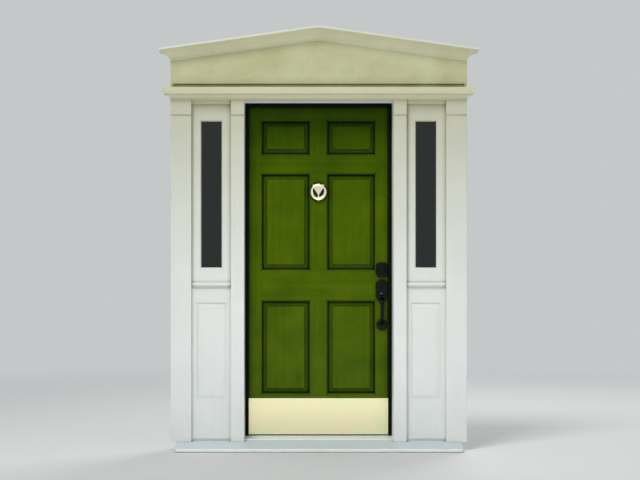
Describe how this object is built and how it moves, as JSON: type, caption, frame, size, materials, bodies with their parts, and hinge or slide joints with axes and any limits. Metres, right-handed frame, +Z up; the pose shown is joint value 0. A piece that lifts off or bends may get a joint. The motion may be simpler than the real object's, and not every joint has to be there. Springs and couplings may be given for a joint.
{
  "type": "panelled entry door with sidelights",
  "caption": "Panelled inward opening entry door hung in its frame, with a glazed sidelight each side, pilasters, a cornice and a low pediment.",
  "frame": {"origin": "centre of the sill's underside, midway through the frame's depth", "axes": "+X to the right seen from outdoors, +Y from outdoors to indoors, +Z up"},
  "size_m": [1.9, 0.366, 2.5367],
  "materials": {
    "door_paint": "gloss paint",
    "trim_paint": "satin paint",
    "crown_paint": "satin paint",
    "sill_paint": "worn satin paint",
    "glazing": "smoked",
    "black_hardware": "gloss",
    "polished_brass": "polished",
    "bright_steel": "brushed",
    "sill_metal": "mill finish",
    "soft_seal": "matt",
    "flashing_metal": "weathered"
  },
  "bodies": {
    "frame": {"sill_board": "sill_paint", "threshold": "sill_metal", "hinge_jamb": "trim_paint", "lock_jamb": "trim_paint", "head_jamb": "trim_paint", "mull_post_left": "trim_paint", "mull_post_right": "trim_paint", "outer_jamb_left": "trim_paint", "outer_jamb_right": "trim_paint", "inner_pilaster_left": "trim_paint", "inner_pilaster_right": "trim_paint", "outer_pilaster_left": "trim_paint", "outer_pilaster_right": "trim_paint", "sidelight_sash_left": "trim_paint", "sidelight_sash_right": "trim_paint", "sidelight_panes": "glazing", "door_stops": "trim_paint", "sash_sill_left": "trim_paint", "sash_sill_right": "trim_paint", "base_panel_left": "trim_paint", "base_panel_right": "trim_paint", "cornice": "crown_paint", "head_flashing": "flashing_metal", "tympanum": "crown_paint", "rake_moulding_left": "crown_paint", "rake_moulding_right": "crown_paint", "weatherstrip": "soft_seal", "hinge_frame_leaves": "bright_steel", "hinge_pins": "bright_steel", "strike_plates": "bright_steel"},
    "leaf": {"hinge_stile": "door_paint", "lock_stile": "door_paint", "top_rail": "door_paint", "frieze_rail": "door_paint", "lock_rail": "door_paint", "bottom_rail": "door_paint", "upper_mullion": "door_paint", "middle_mullion": "door_paint", "lower_mullion": "door_paint", "upper_panel_left": "door_paint", "upper_panel_right": "door_paint", "middle_panel_left": "door_paint", "middle_panel_right": "door_paint", "lower_panel_left": "door_paint", "lower_panel_right": "door_paint", "kick_plate": "polished_brass", "door_sweep": "soft_seal", "hinge_door_leaves": "bright_steel", "knocker_plate": "polished_brass", "deadbolt_housing": "black_hardware", "lock_cases": "bright_steel", "handleset": "black_hardware", "interior_roses": "bright_steel"},
    "knocker": {"knocker_ring": "polished_brass"},
    "deadbolt": {"deadbolt_bolt": "bright_steel"},
    "deadbolt_spindle": {"thumbturn": "bright_steel", "key_plug": "black_hardware"},
    "thumb": {"thumbpiece": "black_hardware"},
    "latch": {"latch_bolt": "bright_steel"},
    "inside_knob": {"knob": "bright_steel"}
  },
  "joints": [
    {"name": "door_swing", "type": "hinge", "parent": "frame", "child": "leaf", "pos_m": [-0.4585, 0.0898, 1.15], "axis": [0, 0, 1], "range_deg": [0, 110]},
    {"name": "knocker_lift", "type": "hinge", "parent": "leaf", "child": "knocker", "pos_m": [0, 0.0277, 1.604], "axis": [-1, 0, 0], "range_deg": [0, 75]},
    {"name": "deadbolt_turn", "type": "hinge", "parent": "leaf", "child": "deadbolt_spindle", "pos_m": [0.387, 0.0385, 1.086], "axis": [0, 1, 0], "range_deg": [0, 90]},
    {"name": "deadbolt_slide", "type": "slide", "parent": "leaf", "child": "deadbolt", "axis": [1, 0, 0], "range_m": [0, 0.0254]},
    {"name": "thumb_release", "type": "hinge", "parent": "leaf", "child": "thumb", "pos_m": [0.387, 0.0345, 0.933], "axis": [-1, 0, 0], "range_deg": [0, 12]},
    {"name": "latch_slide", "type": "slide", "parent": "leaf", "child": "latch", "axis": [1, 0, 0], "range_m": [0, 0.0127]},
    {"name": "knob_turn", "type": "hinge", "parent": "leaf", "child": "inside_knob", "pos_m": [0.387, 0.083, 0.946], "axis": [0, 1, 0], "range_deg": [-60, 60], "stiffness_Nm_per_rad": 0.4}
  ],
  "couplings": [
    {"joint": "deadbolt_slide", "follows": "deadbolt_turn", "m_per_rad": 0.01617},
    {"joint": "latch_slide", "follows": "thumb_release", "m_per_rad": 0.060638}
  ]
}
